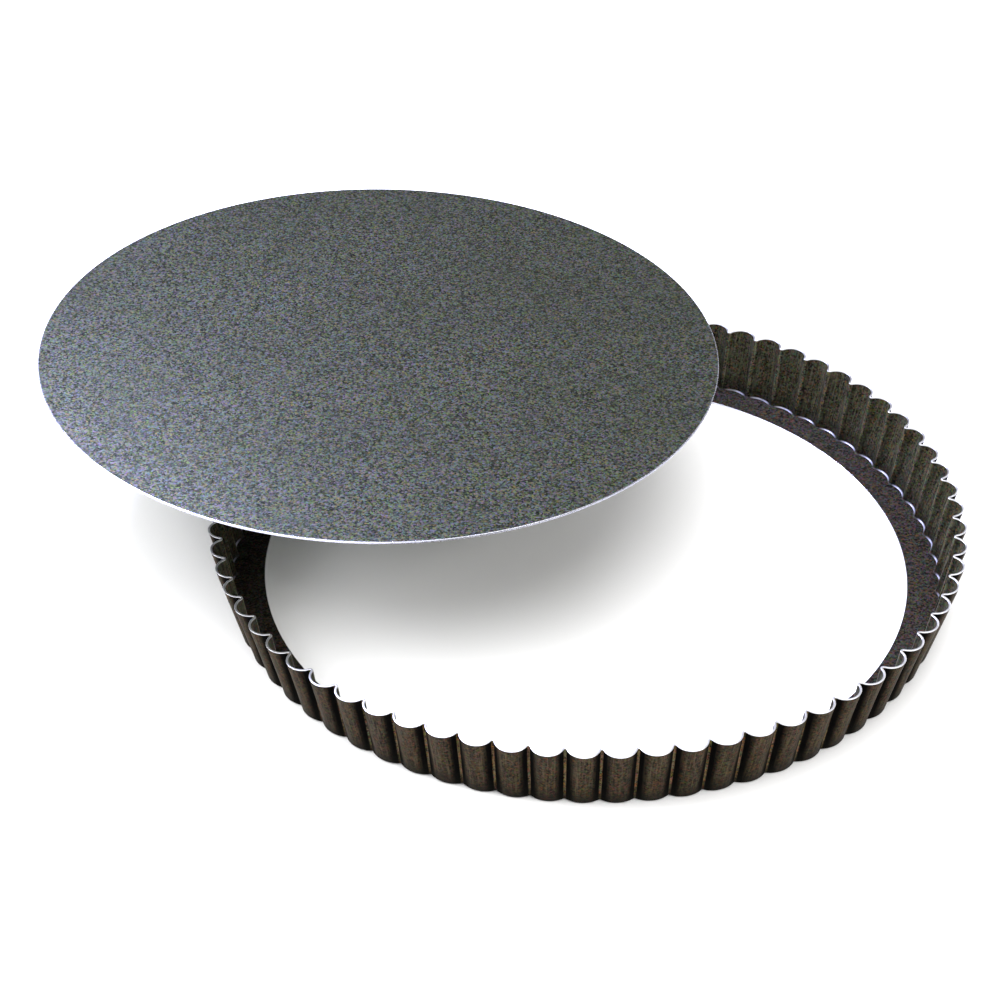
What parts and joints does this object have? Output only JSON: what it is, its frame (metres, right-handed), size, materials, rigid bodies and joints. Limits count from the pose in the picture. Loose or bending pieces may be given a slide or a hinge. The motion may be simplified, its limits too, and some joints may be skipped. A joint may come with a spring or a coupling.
{
  "type": "tart pan",
  "caption": "Shallow round tart pan with a fluted flaring wall and a separate flat round bottom that lies on an inner ledge and lifts out.",
  "frame": {"origin": "centre of the ring, on the plane of the ledge's underside, which is the plane the pan stands on", "axes": "+Z is the ring's axis, pointing up from the table to the rim; +X is to the right and +Y to the back as the pan is looked at with its bottom held out to the back left"},
  "size_m": [0.3456, 0.3217, 0.0672],
  "materials": {
    "ring_coating": "satin dark brown-grey non-stick coating on pressed steel, bare bright steel at the cut rim",
    "bottom_coating": "speckled grey metallic non-stick coating on flat steel sheet"
  },
  "bodies": {
    "ring": {"fluted_ring": "ring_coating"},
    "bottom": {"loose_bottom": "bottom_coating"}
  },
  "joints": [
    {"name": "bottom_carry", "type": "slide", "parent": "ring", "child": "bottom", "axis": [0.7699, -0.5316, -0.353], "range_m": [0, 0.1002]}
  ]
}
